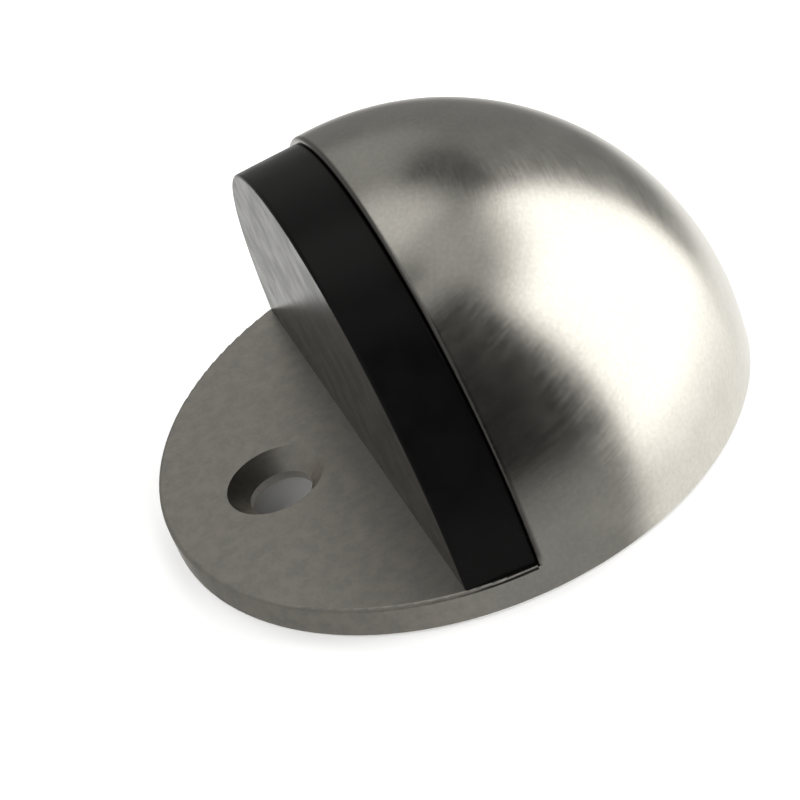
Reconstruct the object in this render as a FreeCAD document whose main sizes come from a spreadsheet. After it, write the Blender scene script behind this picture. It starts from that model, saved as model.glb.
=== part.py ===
"""Half-dome floor door stop: a satin steel casting that carries a D-shaped rubber buffer.

Frame: the origin is the centre of the foot circle on the floor, +Z points up, -Y is the
side that the door comes from, and the stop is symmetrical about the plane X = 0.
"""
import FreeCAD, Part
import math
import os

import Sketcher
from FreeCAD import Placement, Rotation, Vector

# Driving dimensions in millimetres: alias, value, what it measures.
DIMENSIONS = [
    ("base_radius", 22.5, "outside of the casting on the floor"),
    ("dome_centre", 1.5, "height of the dome's centre, where its flank turns upright"),
    ("ledge_height", 2.5, "flat ledge in front of the buffer"),
    ("ledge_round", 0.3, "rounded upper edge of the ledge"),
    ("foot_bevel", 0.2, "bevelled lower edge of the casting"),
    ("arch_round", 0.3, "rounded front edge of the dome"),
    ("wall_setback", 1.95, "dome's front wall, ahead of the centre at the ledge"),
    ("lean_rise", 30.0, "height over which the lean is given"),
    ("lean_run", 0.65, "how far the wall and the buffer lean back over that height"),
    ("cut_reach", 30.0, "half size of the shapes that trim the casting and buffer"),
    ("core_axis", 1.5, "axis of the dome's hollow, behind the centre"),
    ("core_radius", 17.6, "inside of the dome"),
    ("relief_radius", 19.0, "underside relief, inside the bearing rim"),
    ("relief_depth", 0.5, "how far the relief stands off the floor"),
    ("hole_setback", 13.9, "fixing hole, ahead of the centre"),
    ("countersink_radius", 3.75, "countersink at the ledge"),
    ("fixing_radius", 2.4, "fixing hole below the countersink"),
    ("boss_setback", 11.0, "dowel boss, behind the centre"),
    ("boss_radius", 4.5, "outside of the dowel boss"),
    ("boss_height", 17.0, "top of the boss, inside the dome's roof"),
    ("dowel_radius", 2.0, "blind socket for a locating dowel"),
    ("dowel_depth", 8.0, "depth of that socket"),
    ("pad_thickness", 5.05, "rubber buffer, front to back"),
    ("pad_front_radius", 21.15, "buffer's arch at its front"),
    ("pad_front_centre", 2.4, "height of that arch's centre"),
    ("pad_rear_radius", 22.1, "buffer's arch at its rear"),
    ("pad_rear_centre", 1.4, "height of that arch's centre"),
    ("pad_front_round", 0.25, "rounded front edge of the buffer"),
    ("pad_rear_round", 0.2, "rounded rear edge of the buffer"),
    ("fixing_height", 11.0, "buffer screws above the floor"),
    ("fixing_spread", 8.0, "buffer screws either side of the middle"),
    ("wall_hole_radius", 1.7, "clearance hole in the dome's front wall"),
    ("insert_setback", 1.8, "rear end of an insert, ahead of the centre"),
    ("insert_radius", 2.5, "outside of a threaded insert"),
    ("insert_waist", 2.1, "narrow middle of an insert, which keys it in the rubber"),
    ("insert_length", 3.2, "length of an insert"),
    ("insert_land", 0.9, "full-width band at each end of an insert"),
    ("thread_radius", 1.5, "M3 thread of the buffer screws"),
    ("thread_clearance", 0.03, "radial running fit of the thread"),
    ("screw_reach", 6.2, "shank of a buffer screw, from under its head"),
    ("tip_bevel", 0.4, "bevelled tip of a buffer screw"),
    ("head_radius", 2.8, "pan head"),
    ("head_height", 2.0, "pan head"),
    ("head_round", 0.8, "rounded edge of the pan head"),
    ("slot_width", 0.8, "driver slot"),
    ("slot_depth", 0.9, "driver slot"),
]

doc = FreeCAD.newDocument("floor_door_stop")
size = {alias: value for alias, value, _ in DIMENSIONS}

# How far round the front the ledge's rim is rounded, in degrees: up to the dome's wall.
RIM_SWEEP = 169.4

ROLES = {"top": "XY_Plane", "front": "XZ_Plane", "side": "YZ_Plane"}


def make_sheet():
    """The spreadsheet that holds the driving dimensions under their aliases."""
    sheet = doc.addObject("Spreadsheet::Sheet", "Dimensions")
    for row, (alias, value, note) in enumerate(DIMENSIONS, start=1):
        sheet.set(f"A{row}", alias)
        sheet.set(f"B{row}", str(value))
        sheet.set(f"C{row}", note)
        sheet.setAlias(f"B{row}", alias)
    doc.recompute()


def measure(words):
    """Value of a sum of named dimensions, such as 'dome_centre + dome_radius'."""
    total = 0.0
    sign = 1.0
    for word in words.split():
        if word in "+-":
            sign = 1.0 if word == "+" else -1.0
        else:
            total += sign * (size[word] if word in size else float(word))
    return total


def expression(words):
    """The same sum as an expression on the spreadsheet's cells."""
    return " ".join("Dimensions." + word if word in size else word for word in words.split())


def make_body(label):
    body = doc.addObject("PartDesign::Body", label)
    body.Label = label
    return body


def make_sketch(body, name, view, offset=("0", "0", "0")):
    """Sketch on one of the body's origin planes, moved along its own axes by the offset."""
    sketch = body.newObject("Sketcher::SketchObject", name)
    plane = [p for p in body.Origin.OriginFeatures if p.Role == ROLES[view]][0]
    sketch.AttachmentSupport = [(plane, "")]
    sketch.MapMode = "FlatFace"
    sketch.AttachmentOffset = Placement(Vector(*[measure(words) for words in offset]), Rotation())
    for axis, words in zip("xyz", offset):
        if words != "0":
            sketch.setExpression(f"AttachmentOffset.Base.{axis}", expression(words))
    return sketch


def pin_point(sketch, edge, end, point):
    """Holds one end of an edge at a point given by two sums of dimensions, or None to leave one."""
    for kind, words in zip(("DistanceX", "DistanceY"), point):
        if words is None:
            continue
        value = measure(words)
        if words == "0":
            axis = -2 if kind == "DistanceX" else -1
            sketch.addConstraint(Sketcher.Constraint("PointOnObject", edge, end, axis))
            continue
        number = sketch.addConstraint(Sketcher.Constraint(kind, -1, 1, edge, end, value))
        sketch.setExpression(f"Constraints[{number}]", expression(words))


def add_polygon(sketch, corners):
    """Closed outline with straight sides through corners given as sums of dimensions."""
    points = [Vector(measure(a), measure(b), 0) for a, b in corners]
    first = sketch.GeometryCount
    for start, end in zip(points, points[1:] + points[:1]):
        sketch.addGeometry(Part.LineSegment(start, end), False)
    count = len(points)
    for index in range(count):
        after = first + (index + 1) % count
        sketch.addConstraint(Sketcher.Constraint("Coincident", first + index, 2, after, 1))
    for index, corner in enumerate(corners):
        pin_point(sketch, first + index, 1, corner)


def add_circle(sketch, centre, radius):
    """Circle about a point, with its radius given as a sum of dimensions."""
    middle = Vector(measure(centre[0]), measure(centre[1]), 0)
    edge = sketch.addGeometry(Part.Circle(middle, Vector(0, 0, 1), measure(radius)), False)
    pin_point(sketch, edge, 3, centre)
    number = sketch.addConstraint(Sketcher.Constraint("Radius", edge, measure(radius)))
    sketch.setExpression(f"Constraints[{number}]", expression(radius))


def add_feature(body, kind, name, sketch):
    feature = body.newObject(kind, name)
    feature.Profile = sketch
    return feature


def extrude(body, kind, name, sketch, length, both_ways=False, backwards=False):
    """Pad or Pocket of a sketch, to one side of it or to both."""
    feature = add_feature(body, kind, name, sketch)
    feature.Length = measure(length)
    feature.setExpression("Length", expression(length))
    feature.Midplane = both_ways
    feature.Reversed = backwards
    doc.recompute()
    return feature


def turn(body, kind, name, sketch, axis, angle=360, both_ways=False):
    """Revolution or Groove of a sketch about one of the sketch's own axes."""
    feature = add_feature(body, kind, name, sketch)
    feature.ReferenceAxis = (sketch, [axis])
    feature.Angle = angle
    feature.Midplane = both_ways
    doc.recompute()
    return feature


def round_edges(body, name, base, wanted, radius):
    """Fillet on the edges of the base feature that the test picks."""
    edges = [f"Edge{i}" for i, edge in enumerate(base.Shape.Edges, start=1) if wanted(edge)]
    if not edges:
        raise ValueError(name + ": no edge to round")
    fillet = body.newObject("PartDesign::Fillet", name)
    fillet.Base = (base, edges)
    fillet.Radius = size[radius]
    fillet.setExpression("Radius", expression(radius))
    doc.recompute()
    return fillet


def middle_of(edge):
    return edge.valueAt((edge.FirstParameter + edge.LastParameter) / 2)


def lean_at(height):
    """How far the leaning faces have gone back at a height above the floor."""
    return size["lean_run"] * (height - size["ledge_height"]) / size["lean_rise"]


def arches_at(setback):
    """Test for the curved outline of a leaning face that starts this far ahead."""
    def wanted(edge):
        middle = middle_of(edge)
        on_face = abs(middle.y - (lean_at(middle.z) - setback)) < 0.02
        above = middle.z > size["ledge_height"] + size["base_radius"] / 2
        return on_face and above and edge.Length > size["base_radius"]
    return wanted


def add_chain(sketch, edges):
    """Closed outline through ready edges, each starting where the one before it ends."""
    numbers = [sketch.addGeometry(edge, False) for edge in edges]
    for first, second in zip(numbers, numbers[1:] + numbers[:1]):
        sketch.addConstraint(Sketcher.Constraint("Coincident", first, 2, second, 1))
    return numbers


def quarter_arc(centre_x, centre_y, radius):
    """Arc from the right of its centre to the top of it."""
    circle = Part.Circle(Vector(centre_x, centre_y, 0), Vector(0, 0, 1), radius)
    return Part.ArcOfCircle(circle, 0, math.pi / 2)


def add_half_dome(sketch, radius, bevel):
    """Half section of a dome on an upright flank: bevelled foot, flank, quarter arc, axis."""
    reach = measure(radius)
    centre = size["dome_centre"]
    corners = [
        ("0", "0"),
        (f"{radius} - {bevel}", "0"),
        (radius, bevel),
        (radius, "dome_centre"),
    ]
    points = [Vector(measure(a), measure(b), 0) for a, b in corners]
    edges = [Part.LineSegment(start, end) for start, end in zip(points, points[1:])]
    edges.append(quarter_arc(0, centre, reach))
    edges.append(Part.LineSegment(Vector(0, centre + reach, 0), points[0]))
    numbers = add_chain(sketch, edges)
    for number, corner in zip(numbers, corners):
        pin_point(sketch, number, 1, corner)
    pin_point(sketch, numbers[3], 3, ("0", "dome_centre"))
    pin_point(sketch, numbers[3], 2, ("0", None))


def add_rim_section(sketch):
    """The corner outside the ledge's rounded rim: arc up from the flank, then round the outside."""
    shoulder = "ledge_height - ledge_round"
    middle = ("- base_radius + ledge_round", shoulder)
    corners = [
        (middle[0], "ledge_height"),
        (middle[0], "ledge_height + ledge_round"),
        ("- base_radius - ledge_round", "ledge_height + ledge_round"),
        ("- base_radius - ledge_round", shoulder),
        ("- base_radius", shoulder),
    ]
    points = [Vector(measure(a), measure(b), 0) for a, b in corners]
    circle = Part.Circle(Vector(measure(middle[0]), measure(middle[1]), 0), Vector(0, 0, 1),
                         size["ledge_round"])
    edges = [Part.LineSegment(start, end) for start, end in zip(points, points[1:])]
    arc = sketch.addGeometry(Part.ArcOfCircle(circle, math.pi / 2, math.pi), False)
    numbers = [sketch.addGeometry(edge, False) for edge in edges]
    for first, second in zip(numbers, numbers[1:]):
        sketch.addConstraint(Sketcher.Constraint("Coincident", first, 2, second, 1))
    sketch.addConstraint(Sketcher.Constraint("Coincident", arc, 1, numbers[0], 1))
    sketch.addConstraint(Sketcher.Constraint("Coincident", arc, 2, numbers[-1], 2))
    for number, corner in zip(numbers, corners):
        pin_point(sketch, number, 1, corner)
    pin_point(sketch, arc, 3, middle)
    pin_point(sketch, arc, 2, (None, shoulder))


def make_cast_body():
    """Casting: dome with a leaning front wall over a ledge, hollow, boss and holes."""
    body = make_body("cast_body")
    dome = make_sketch(body, "dome_profile", "side")
    add_half_dome(dome, "base_radius", "foot_bevel")
    turn(body, "PartDesign::Revolution", "dome_solid", dome, "V_Axis")

    front = make_sketch(body, "front_outline", "side")
    add_polygon(front, [
        ("- wall_setback", "ledge_height"),
        ("- wall_setback + lean_run", "ledge_height + lean_rise"),
        ("- cut_reach", "ledge_height + lean_rise"),
        ("- cut_reach", "ledge_height"),
    ])
    wall = extrude(body, "PartDesign::Pocket", "front_wall", front, "cut_reach + cut_reach",
                   both_ways=True)
    round_edges(body, "arch_edge", wall, arches_at(size["wall_setback"]), "arch_round")

    rim = make_sketch(body, "rim_profile", "side")
    add_rim_section(rim)
    turn(body, "PartDesign::Groove", "ledge_rim", rim, "V_Axis", angle=RIM_SWEEP, both_ways=True)

    make_hollow(body)
    make_dowel_boss(body)
    make_fixing_hole(body)
    make_wall_holes(body)
    return body


def make_hollow(body):
    """Quarter-sphere hollow inside the dome, and the shallow relief under the whole foot."""
    core = make_sketch(body, "core_profile", "side", ("core_axis", "0", "0"))
    add_half_dome(core, "core_radius", "foot_bevel")
    turn(body, "PartDesign::Groove", "hollow", core, "V_Axis", angle=180, both_ways=True)

    relief = make_sketch(body, "relief_outline", "top")
    add_circle(relief, ("0", "0"), "relief_radius")
    extrude(body, "PartDesign::Pocket", "relief", relief, "relief_depth", backwards=True)


def make_dowel_boss(body):
    """Boss that hangs from the dome's roof to the floor, with a blind socket in its foot."""
    outline = make_sketch(body, "boss_outline", "top")
    add_circle(outline, ("0", "boss_setback"), "boss_radius")
    extrude(body, "PartDesign::Pad", "dowel_boss", outline, "boss_height")
    socket = make_sketch(body, "socket_outline", "top")
    add_circle(socket, ("0", "boss_setback"), "dowel_radius")
    extrude(body, "PartDesign::Pocket", "dowel_socket", socket, "dowel_depth", backwards=True)


def make_fixing_hole(body):
    """Countersunk hole through the ledge, for a screw with a 90 degree head."""
    profile = make_sketch(body, "fixing_profile", "side", ("- hole_setback", "0", "0"))
    add_polygon(profile, [
        ("0", "0"),
        ("fixing_radius", "0"),
        ("fixing_radius", "ledge_height - countersink_radius + fixing_radius"),
        ("countersink_radius", "ledge_height"),
        ("0", "ledge_height"),
    ])
    turn(body, "PartDesign::Groove", "fixing_hole", profile, "V_Axis")


def make_wall_holes(body):
    """Two clearance holes through the dome's front wall for the buffer's screws."""
    outline = make_sketch(body, "wall_hole_outline", "front", ("0", "0", "- core_axis - 1"))
    for side in ("", "- "):
        add_circle(outline, (side + "fixing_spread", "fixing_height"), "wall_hole_radius")
    extrude(body, "PartDesign::Pocket", "wall_holes", outline, "core_axis + wall_setback + 2",
            backwards=True)


def make_buffer_pad():
    """D-shaped rubber block on the ledge, narrower at its front and leaning with the wall."""
    body = make_body("buffer_pad")
    front = make_sketch(body, "front_arch", "front", ("0", "0", "wall_setback + pad_thickness"))
    add_circle(front, ("0", "pad_front_centre"), "pad_front_radius")
    rear = make_sketch(body, "rear_arch", "front", ("0", "0", "wall_setback - lean_run"))
    add_circle(rear, ("0", "pad_rear_centre"), "pad_rear_radius")
    arch = add_feature(body, "PartDesign::AdditiveLoft", "arch_solid", front)
    arch.Sections = [rear]
    arch.Ruled = True
    doc.recompute()

    side = make_sketch(body, "side_outline", "side")
    add_polygon(side, [
        ("- cut_reach", "- cut_reach"),
        ("cut_reach", "- cut_reach"),
        ("cut_reach", "cut_reach + cut_reach"),
        ("- cut_reach", "cut_reach + cut_reach"),
    ])
    add_polygon(side, [
        ("- wall_setback - pad_thickness", "ledge_height"),
        ("- wall_setback", "ledge_height"),
        ("- wall_setback + lean_run", "ledge_height + lean_rise"),
        ("- wall_setback - pad_thickness + lean_run", "ledge_height + lean_rise"),
    ])
    block = extrude(body, "PartDesign::Pocket", "side_cut", side, "cut_reach + cut_reach",
                    both_ways=True)

    front_setback = measure("wall_setback + pad_thickness")
    softened = round_edges(body, "front_edge", block, arches_at(front_setback), "pad_front_round")
    round_edges(body, "rear_edge", softened, arches_at(size["wall_setback"]), "pad_rear_round")

    bores = make_sketch(body, "bore_outline", "front", ("0", "0", "insert_setback + insert_length"))
    for side_sign in ("", "- "):
        add_circle(bores, (side_sign + "fixing_spread", "fixing_height"), "insert_radius")
    extrude(body, "PartDesign::Pocket", "insert_bores", bores, "insert_length + wall_setback")
    return body


def make_insert():
    """Threaded steel sleeve moulded in the rubber, with a waist that keys it in place."""
    body = make_body("insert_right")
    profile = make_sketch(body, "insert_profile", "side",
                          ("- insert_setback - insert_length", "fixing_height", "fixing_spread"))
    bore = "thread_radius + thread_clearance"
    rear_land = "insert_length - insert_land"
    add_polygon(profile, [
        ("0", bore),
        ("insert_length", bore),
        ("insert_length", "insert_radius"),
        (rear_land, "insert_radius"),
        (rear_land, "insert_waist"),
        ("insert_land", "insert_waist"),
        ("insert_land", "insert_radius"),
        ("0", "insert_radius"),
    ])
    turn(body, "PartDesign::Revolution", "insert_solid", profile, "H_Axis")
    return body


def make_screw():
    """Pan-head machine screw that draws the buffer back against the dome's front wall."""
    body = make_body("screw_right")
    profile = make_sketch(body, "screw_profile", "side",
                          ("core_axis", "fixing_height", "fixing_spread"))
    add_polygon(profile, [
        ("- screw_reach", "0"),
        ("head_height", "0"),
        ("head_height", "head_radius"),
        ("0", "head_radius"),
        ("0", "thread_radius"),
        ("- screw_reach + tip_bevel", "thread_radius"),
        ("- screw_reach", "thread_radius - tip_bevel"),
    ])
    solid = turn(body, "PartDesign::Revolution", "screw_solid", profile, "H_Axis")
    face = measure("core_axis + head_height")
    round_edges(body, "head_edge", solid, lambda edge: abs(edge.BoundBox.YMin - face) < 0.01
                and abs(edge.BoundBox.YMax - face) < 0.01, "head_round")

    slot = make_sketch(body, "slot_outline", "front",
                       ("fixing_spread - slot_width", "fixing_height", "- core_axis - head_height"))
    add_polygon(slot, [
        ("slot_width", "- head_radius"),
        ("slot_width + slot_width", "- head_radius"),
        ("slot_width + slot_width", "head_radius"),
        ("slot_width", "head_radius"),
    ])
    extrude(body, "PartDesign::Pocket", "driver_slot", slot, "slot_depth", backwards=True)
    return body


def make_pair(label, body):
    """One node that holds a small piece and its mirror image in the plane X = 0."""
    mirrored = doc.addObject("Part::Mirroring", label + "_mirrored")
    mirrored.Source = body
    mirrored.Normal = Vector(1, 0, 0)
    pair = doc.addObject("Part::Compound", label)
    pair.Links = [body, mirrored]
    pair.Label = label
    doc.recompute()
    return pair


def check(items):
    """Stops on any failed object and on any sub-part without a valid shape."""
    for item in doc.Objects:
        if {"Invalid", "Error"} & set(item.State):
            raise RuntimeError(f"{item.Name}: {item.State}")
    for item in items:
        if item.Shape.isNull() or not item.Shape.isValid():
            raise RuntimeError(item.Label + ": no valid shape")


def write(items):
    """One STEP file for each node, named after its label."""
    os.makedirs("parts", exist_ok=True)
    for item in items:
        item.Shape.exportStep(f"parts/{item.Label}.step")
        print(f"{item.Label}: {item.Shape.Volume:.1f} cubic mm, {len(item.Shape.Solids)} solids")


make_sheet()
nodes = [
    make_cast_body(),
    make_buffer_pad(),
    make_pair("threaded_inserts", make_insert()),
    make_pair("buffer_screws", make_screw()),
]
check(nodes)
write(nodes)
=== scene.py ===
"""Looks, light and camera for a half-dome floor door stop.

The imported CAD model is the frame: one casting, one rubber buffer, and the
hidden inserts and screws that hold them together. Its shapes are kept, and
this script gives them their materials. Lengths are in metres unless a name
ends in _MM. The origin is the centre of the round foot on the floor, +Z is
up, and -Y is the front, where the ledge is and where the door comes from.
"""
import math

import bpy
from mathutils import Matrix, Vector

MM = 0.001
UP = Vector((0, 0, 1))

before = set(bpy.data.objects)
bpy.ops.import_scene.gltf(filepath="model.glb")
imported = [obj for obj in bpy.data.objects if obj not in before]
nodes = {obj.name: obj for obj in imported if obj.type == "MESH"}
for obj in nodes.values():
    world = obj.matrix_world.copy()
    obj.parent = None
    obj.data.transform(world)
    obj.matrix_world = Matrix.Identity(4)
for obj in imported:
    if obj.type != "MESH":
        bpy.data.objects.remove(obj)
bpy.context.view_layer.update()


# ---------------------------------------------------------------- directions

def heading(azimuth, elevation=0.0):
    """The unit vector from the object towards a place in the room.

    Azimuth 0 is the front, and 90 is the +X side.
    """
    turn, rise = math.radians(azimuth), math.radians(elevation)
    level = math.cos(rise)
    return Vector((math.sin(turn) * level, -math.cos(turn) * level, math.sin(rise)))


# ------------------------------------------------------------- shader helper

class Nodes:
    """Adds nodes to one node tree.

    A value is a number, a colour, a vector or another node's output.
    """

    # Which of the Mix node's sockets are the ones for colours.
    MIX_INPUTS = (0, 6, 7)
    MIX_OUTPUT = 2

    def __init__(self, tree):
        self.tree = tree
        tree.nodes.clear()

    def add(self, kind, inputs=None, **settings):
        node = self.tree.nodes.new(kind)
        for name, value in settings.items():
            setattr(node, name, value)
        for name, value in (inputs or {}).items():
            self.feed(node.inputs[name], value)
        return node

    def feed(self, socket, value):
        if isinstance(value, bpy.types.NodeSocket):
            self.tree.links.new(value, socket)
        else:
            socket.default_value = value

    def math(self, operation, *values):
        node = self.add("ShaderNodeMath", operation=operation)
        for socket, value in zip(node.inputs, values):
            self.feed(socket, value)
        return node.outputs[0]

    def sum(self, first, second):
        return self.math("ADD", first, second)

    def product(self, first, second):
        return self.math("MULTIPLY", first, second)

    def weigh(self, first, first_weight, second, second_weight):
        """The weighted sum of two values."""
        return self.sum(self.product(first, first_weight), self.product(second, second_weight))

    def vector(self, operation, *values):
        node = self.add("ShaderNodeVectorMath", operation=operation)
        for socket, value in zip(node.inputs, values):
            self.feed(socket, value)
        return node.outputs["Value" if operation in ("DOT_PRODUCT", "LENGTH") else "Vector"]

    def scale(self, vector, factor):
        node = self.add(
            "ShaderNodeVectorMath", {"Vector": vector, "Scale": factor}, operation="SCALE"
        )
        return node.outputs["Vector"]

    def split(self, vector, axis):
        return self.add("ShaderNodeSeparateXYZ", {"Vector": vector}).outputs[axis]

    def step(self, value, start, end, low=0.0, high=1.0):
        """low before start, high after end, and smooth in between; start may be the larger."""
        node = self.add(
            "ShaderNodeMapRange",
            {"Value": value, "From Min": start, "From Max": end, "To Min": low, "To Max": high},
            interpolation_type="SMOOTHSTEP",
        )
        return node.outputs["Result"]

    def noise(self, vector, scale, detail=2.0, roughness=0.5):
        node = self.add(
            "ShaderNodeTexNoise",
            {"Vector": vector, "Scale": scale, "Detail": detail, "Roughness": roughness},
        )
        return node.outputs["Fac"]

    def mix(self, factor, first, second):
        node = self.add("ShaderNodeMix", data_type="RGBA", clamp_factor=True)
        for number, value in zip(self.MIX_INPUTS, (factor, first, second)):
            self.feed(node.inputs[number], value)
        return node.outputs[self.MIX_OUTPUT]

    def bump(self, height, strength, distance_mm):
        node = self.add(
            "ShaderNodeBump",
            {"Strength": strength, "Distance": distance_mm * MM, "Height": height},
        )
        return node.outputs[0]


# -------------------------------------------------------------------- camera

CAMERA_PLACE = Vector((0.140174, -0.023168, 0.103626))
CAMERA_AZIMUTH = 81.870
CAMERA_ELEVATION = 35.212
CAMERA_ROLL = -22.537
LENS_MM = 106.417
SENSOR_MM = 36.0
NEAREST = 0.01
FARTHEST = 10.0


def make_camera():
    """A long lens, low over the +X side, tipped so that the object leans to the left."""
    data = bpy.data.cameras.new("camera")
    data.lens = LENS_MM
    data.sensor_width = SENSOR_MM
    data.clip_start = NEAREST
    data.clip_end = FARTHEST
    back = heading(CAMERA_AZIMUTH, CAMERA_ELEVATION)
    level = UP.cross(back).normalized()
    upright = back.cross(level)
    axes = Matrix((level, upright, back)).transposed()
    camera = bpy.data.objects.new("camera", data)
    camera.matrix_world = (
        Matrix.Translation(CAMERA_PLACE)
        @ axes.to_4x4()
        @ Matrix.Rotation(math.radians(CAMERA_ROLL), 4, "Z")
    )
    bpy.context.scene.collection.objects.link(camera)
    bpy.context.scene.camera = camera


# --------------------------------------------------------------------- light

WARM_WHITE = (1.0, 0.995, 0.965, 1.0)
WALLS = 0.20
CEILING = 0.44
# Elevations between which the walls turn into the ceiling.
CEILING_STARTS = 35
CEILING_FULL = 75
# Further down, or further up, than any direction is.
BELOW_ALL = -120
ABOVE_ALL = 120

# The studio's cards and panels, each drawn over the ones before it. All but
# the brightness are degrees: the middle's azimuth, the width and how soft the
# sides are, then the lowest and highest elevation and how soft these ends are.
PANELS = {
    "lamp over the -X side": (-118, 60, 20, 60, 84, 12, 0.70),
    "dark gap under that lamp": (-133, 40, 12, 36, 55, 10, 0.07),
    "pale wall on the -X side": (-104, 26, 12, 20, 50, 14, 0.32),
    "grey wall ahead on the -X side": (-62, 56, 14, 10, 60, 16, 0.20),
    "dark card overhead": (60, 170, 20, 79, ABOVE_ALL, 10, 0.03),
    "dark card on the +X side": (90, 88, 10, -3, 69, 18, 0.02),
    "grey floor on the +X side": (85, 80, 20, BELOW_ALL, -16, 20, 0.28),
    "white floor behind": (211, 154, 16, BELOW_ALL, -19, 18, 1.08),
    "softbox behind": (169.5, 71, 7, -22, 50, 24, 1.9),
}


def make_room():
    """A plain studio round the object, as the world's light.

    It is a grey room with a pale floor, a big softbox behind the object and a
    dark card on its +X side. The metal and the rubber reflect it.
    """
    world = bpy.data.worlds.new("studio")
    world.use_nodes = True
    bpy.context.scene.world = world
    n = Nodes(world.node_tree)
    towards = n.add("ShaderNodeTexCoord").outputs["Generated"]
    degrees = 180 / math.pi
    rise = n.product(n.math("ARCSINE", n.vector("DOT_PRODUCT", towards, tuple(UP))), degrees)

    def aside(azimuth):
        """How many degrees a direction is away from that azimuth, going round."""
        ahead = n.vector("DOT_PRODUCT", towards, tuple(heading(azimuth)))
        across = n.vector("DOT_PRODUCT", towards, tuple(heading(azimuth + 90)))
        turn = n.math("ARCTAN2", across, ahead)
        return n.product(n.math("ABSOLUTE", turn), degrees)

    def panel(azimuth, width, side_soft, low, high, end_soft):
        """1 inside a part of the room, and 0 outside it, with soft sides and soft ends."""
        half, side, end = width / 2, side_soft / 2, end_soft / 2
        across = n.step(aside(azimuth), half + side, half - side)
        above = n.step(rise, low - end, low + end)
        below = n.step(rise, high + end, high - end)
        return n.product(n.product(across, above), below)

    level = n.step(rise, CEILING_STARTS, CEILING_FULL, WALLS, CEILING)
    for *shape, brightness in PANELS.values():
        change = n.math("SUBTRACT", brightness, level)
        level = n.sum(level, n.product(change, panel(*shape)))
    background = n.add("ShaderNodeBackground", {"Color": WARM_WHITE, "Strength": level})
    output = n.add("ShaderNodeOutputWorld")
    n.feed(output.inputs["Surface"], background.outputs[0])


LOW_LIGHTS = 8
LOW_LIGHT_SIZE = 0.4
LOW_LIGHT_WATTS = 2.2
LOW_LIGHT_ELEVATION = 24
LOW_LIGHT_DISTANCE = 0.7


def make_floor_lights():
    """A ring of low, wide lights that makes the floor pale.

    They are left out of reflections, where the room shows.
    """
    spacing = 360 / LOW_LIGHTS
    for number in range(LOW_LIGHTS):
        data = bpy.data.lights.new("low_light", "AREA")
        data.shape = "DISK"
        data.size = LOW_LIGHT_SIZE
        data.energy = LOW_LIGHT_WATTS
        lamp = bpy.data.objects.new("low_light", data)
        towards = heading(spacing * (number + 0.5), LOW_LIGHT_ELEVATION)
        lamp.location = towards * LOW_LIGHT_DISTANCE
        lamp.rotation_mode = "QUATERNION"
        lamp.rotation_quaternion = towards.to_track_quat("Z", "Y")
        lamp.visible_glossy = False
        bpy.context.scene.collection.objects.link(lamp)


# --------------------------------------------------------------------- floor

FLOOR_RADIUS = 2.5
FLOOR_DROP = 0.02 * MM
FLOOR_GREYS = (0.86, 0.88)
# Inside the foot's edge, and reaching past the fixing hole.
SHADE_RADIUS = 20 * MM
SHADE_DROP = 0.01 * MM
SHADE_GREYS = (0.32, 0.38)
SHEET_SIDES = 64
SHEET_MOTTLE = 30.0


def make_sheet(name, radius, drop, greys):
    """A round sheet just below Z = 0, matt and faintly mottled between two greys."""
    mesh = bpy.data.meshes.new(name)
    corners = [heading(360 / SHEET_SIDES * number) * radius for number in range(SHEET_SIDES)]
    mesh.from_pydata(corners, [], [range(SHEET_SIDES)])
    sheet = bpy.data.objects.new(name, mesh)
    sheet.location.z = -drop
    sheet.visible_shadow = False
    bpy.context.scene.collection.objects.link(sheet)
    material, n = new_material(name)
    place = n.add("ShaderNodeTexCoord").outputs["Object"]
    dark, light = [(grey, grey, grey, 1) for grey in greys]
    shade = n.mix(n.noise(place, SHEET_MOTTLE), dark, light)
    finish_material(n, n.add("ShaderNodeBsdfDiffuse", {"Color": shade}))
    mesh.materials.append(material)
    return sheet


def make_floor():
    """A large pale floor, and a greyer sheet under the foot.

    The metal reflects the room's own floor and not the large one. The grey
    sheet is what shows in the fixing hole, as the shade under the foot.
    """
    floor = make_sheet("pale_floor", FLOOR_RADIUS, FLOOR_DROP, FLOOR_GREYS)
    floor.visible_glossy = False
    shade = make_sheet("shade_under_foot", SHADE_RADIUS, SHADE_DROP, SHADE_GREYS)
    shade.visible_diffuse = False


# ----------------------------------------------------------------- materials

DOME_CENTRE_MM = Vector((0, 0, 1.5))
DOME_RADIUS_MM = 22.5
LEDGE_HEIGHT_MM = 2.5
# The dome's front wall: how far ahead of the centre it stands, and how far it
# leans back for each millimetre of height.
WALL_SETBACK_MM = 1.95
WALL_LEAN = 0.65 / 30
# The painted shade on the dome's front edge, where it meets the rubber: how strong
# it is, where it starts to fade behind the wall and where it ends.
SEAM_SHADE_STRENGTH = 0.75
SEAM_SHADE_FADES_MM = 0.1
SEAM_SHADE_ENDS_MM = 0.4
# The ledge's blasted finish: full up to the rubber's front face, and gone
# under the rubber. Up the ledge's rim it fades between the two heights.
BLASTED_TO_MM = -7.0
BLASTED_ENDS_MM = -5.0
BLASTED_TOP_MM = (LEDGE_HEIGHT_MM + 0.1, LEDGE_HEIGHT_MM + 0.5)
BLASTED_ROUGHER = 0.20
# The line that the dome was brushed round.
BRUSH_AXIS = Vector((0.239, -0.142, 0.961)).normalized()

STEEL_DARK = (0.60, 0.578, 0.532, 1)
STEEL_LIGHT = (0.68, 0.655, 0.604, 1)
# The colour of the painted shade on the dome's front edge, next to the rubber.
STEEL_SEAM_SHADE = (0.14, 0.135, 0.13, 1)
STEEL_BLASTED = (0.76, 0.715, 0.65, 1)
RUBBER_DARK = (0.0015, 0.0015, 0.0015, 1)
RUBBER_LIGHT = (0.003, 0.003, 0.003, 1)
ZINC_BLUE = (0.58, 0.61, 0.66, 1)
ZINC_WHITE = (0.70, 0.71, 0.72, 1)


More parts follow.
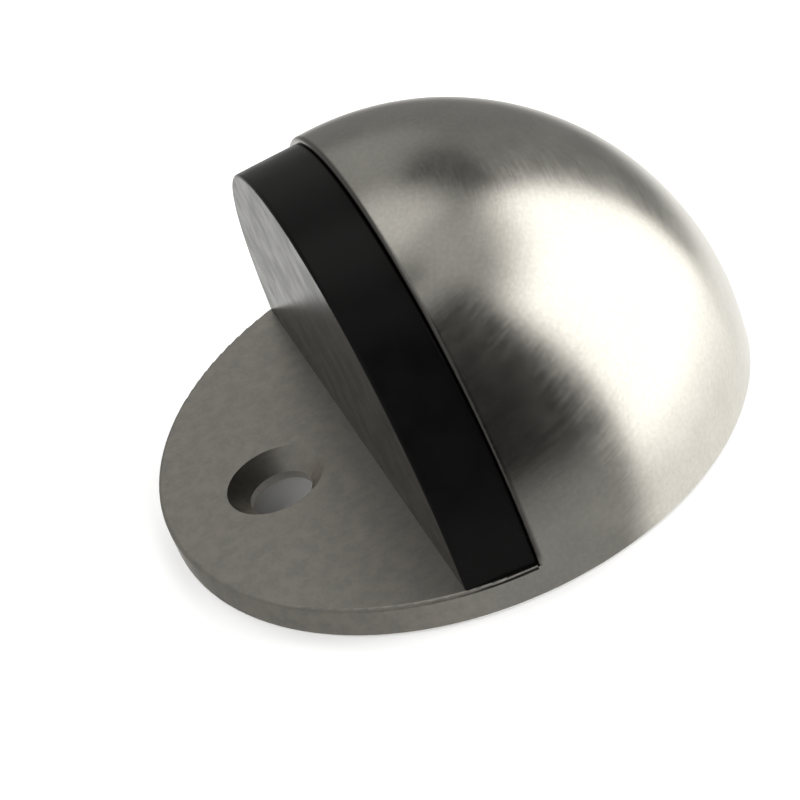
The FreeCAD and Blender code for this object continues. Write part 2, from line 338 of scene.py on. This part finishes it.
def new_material(name):
    material = bpy.data.materials.new(name)
    material.use_nodes = True
    return material, Nodes(material.node_tree)


def place_in_mm(n):
    """Where a point is on the object, in millimetres."""
    return n.scale(n.add("ShaderNodeTexCoord").outputs["Object"], 1 / MM)


def finish_material(n, shader):
    output = n.add("ShaderNodeOutputMaterial")
    n.feed(output.inputs["Surface"], shader.outputs[0])


def brushed_grain(n, place):
    """Scratches in circles round the brushing axis: the coarse ones, and these with the fine ones."""
    axis = tuple(BRUSH_AXIS)
    offset = n.vector("SUBTRACT", place, tuple(DOME_CENTRE_MM))
    height = n.vector("DOT_PRODUCT", offset, axis)
    outward = n.vector("SUBTRACT", offset, n.scale(axis, height))
    round_it = n.vector("NORMALIZE", outward)
    lean = n.math("ARCTAN2", n.vector("LENGTH", outward), height)
    arc = n.product(lean, DOME_RADIUS_MM)

    def streaks(per_radian, per_mm):
        """A place in the noise that changes slowly round the axis and fast from circle to circle."""
        return n.vector("ADD", n.scale(round_it, per_radian), n.scale(axis, n.product(arc, per_mm)))

    scratch = n.noise(streaks(6.0, 5.0), scale=1.0, detail=3.0, roughness=0.6)
    hair = n.noise(streaks(11.0, 16.0), scale=1.0, detail=2.0, roughness=0.5)
    return scratch, n.weigh(scratch, 0.7, hair, 0.3)


def painted_seam_shade(n, y, z):
    """How strongly painted shade darkens the dome's front edge, where it meets the rubber. It fades
    out behind it.
    """
    behind_wall = n.sum(y, n.sum(WALL_SETBACK_MM, n.product(z, -WALL_LEAN)))
    shade_near_wall = n.step(behind_wall, SEAM_SHADE_ENDS_MM, SEAM_SHADE_FADES_MM, low=0.0, high=SEAM_SHADE_STRENGTH)
    return n.product(shade_near_wall, n.step(z, LEDGE_HEIGHT_MM, LEDGE_HEIGHT_MM + 1))


def on_ledge(n, y, z):
    """1 on the ledge and its rim, ahead of the rubber, and 0 on the dome."""
    full_below, none_above = BLASTED_TOP_MM
    low = n.step(z, none_above, full_below)
    return n.product(low, n.step(y, BLASTED_ENDS_MM, BLASTED_TO_MM))


def make_satin_steel():
    """Cast stainless steel: a brushed dome, and a matter, mottled ledge."""
    material, n = new_material("satin_steel")
    place = place_in_mm(n)
    y, z = n.split(place, "Y"), n.split(place, "Z")
    scratch, grain = brushed_grain(n, place)
    cloud = n.noise(place, scale=0.35, detail=3.0, roughness=0.5)
    grit = n.noise(place, scale=3.2, detail=3.0, roughness=0.6)
    blotch = n.noise(place, scale=0.8, detail=5.0, roughness=0.6)
    mottle = n.step(blotch, 0.35, 0.65, low=0.1, high=0.9)
    ledge = on_ledge(n, y, z)

    tone = n.weigh(cloud, 0.4, grit, 0.6)
    colour = n.mix(n.step(tone, 0.3, 0.7), STEEL_DARK, STEEL_LIGHT)
    # Painted shade: the dome's front edge is darkened where it meets the rubber.
    colour = n.mix(painted_seam_shade(n, y, z), colour, STEEL_SEAM_SHADE)
    colour = n.mix(n.product(ledge, mottle), colour, STEEL_BLASTED)

    roughness = n.step(cloud, 0.3, 0.7, low=0.19, high=0.23)
    roughness = n.sum(roughness, n.product(ledge, BLASTED_ROUGHER))
    roughness = n.sum(roughness, n.step(scratch, 0.35, 0.75, low=-0.015, high=0.025))

    normal = n.add("ShaderNodeNewGeometry").outputs["Normal"]
    along_scratches = n.vector("CROSS_PRODUCT", tuple(BRUSH_AXIS), normal)
    shader = n.add(
        "ShaderNodeBsdfPrincipled",
        {
            "Base Color": colour,
            "Metallic": 1.0,
            "Roughness": roughness,
            "Anisotropic": 0.5,
            "Tangent": n.vector("NORMALIZE", along_scratches),
            "Normal": n.bump(grain, strength=0.8, distance_mm=0.004),
        },
    )
    finish_material(n, shader)
    return material


def make_black_rubber():
    """Moulded black rubber, smooth and a little glossy, with a very fine skin texture."""
    material, n = new_material("black_rubber")
    place = place_in_mm(n)
    skin = n.noise(place, scale=6.0, detail=3.0, roughness=0.6)
    cloud = n.noise(place, scale=0.4, detail=2.0, roughness=0.5)
    shader = n.add(
        "ShaderNodeBsdfPrincipled",
        {
            "Base Color": n.mix(cloud, RUBBER_DARK, RUBBER_LIGHT),
            "Roughness": n.step(cloud, 0.3, 0.7, low=0.21, high=0.27),
            "IOR": 1.27,
            "Normal": n.bump(skin, strength=0.1, distance_mm=0.003),
        },
    )
    finish_material(n, shader)
    return material


def make_zinc_plate():
    """Bright zinc plating on turned steel, with turning lines and a faint blue cast."""
    material, n = new_material("zinc_plated_steel")
    place = place_in_mm(n)
    lines = n.add(
        "ShaderNodeMapping", {"Vector": place, "Scale": (1.5, 14.0, 1.5)}, vector_type="POINT"
    )
    turned = n.noise(lines.outputs[0], scale=1.0, detail=2.0, roughness=0.5)
    cloud = n.noise(place, scale=1.2, detail=3.0, roughness=0.5)
    shader = n.add(
        "ShaderNodeBsdfPrincipled",
        {
            "Base Color": n.mix(cloud, ZINC_BLUE, ZINC_WHITE),
            "Metallic": 1.0,
            "Roughness": n.step(turned, 0.3, 0.7, low=0.22, high=0.36),
            "Normal": n.bump(turned, strength=0.3, distance_mm=0.005),
        },
    )
    finish_material(n, shader)
    return material


def dress(names, material):
    """Puts one material on CAD nodes."""
    for name in names:
        for slot in nodes[name].material_slots:
            slot.material = material


# --------------------------------------------------------------------- build

make_camera()
make_room()
make_floor_lights()
make_floor()
dress(["cast_body"], make_satin_steel())
dress(["buffer_pad"], make_black_rubber())
dress(["threaded_inserts", "buffer_screws"], make_zinc_plate())
bpy.context.scene.view_settings.view_transform = "Standard"
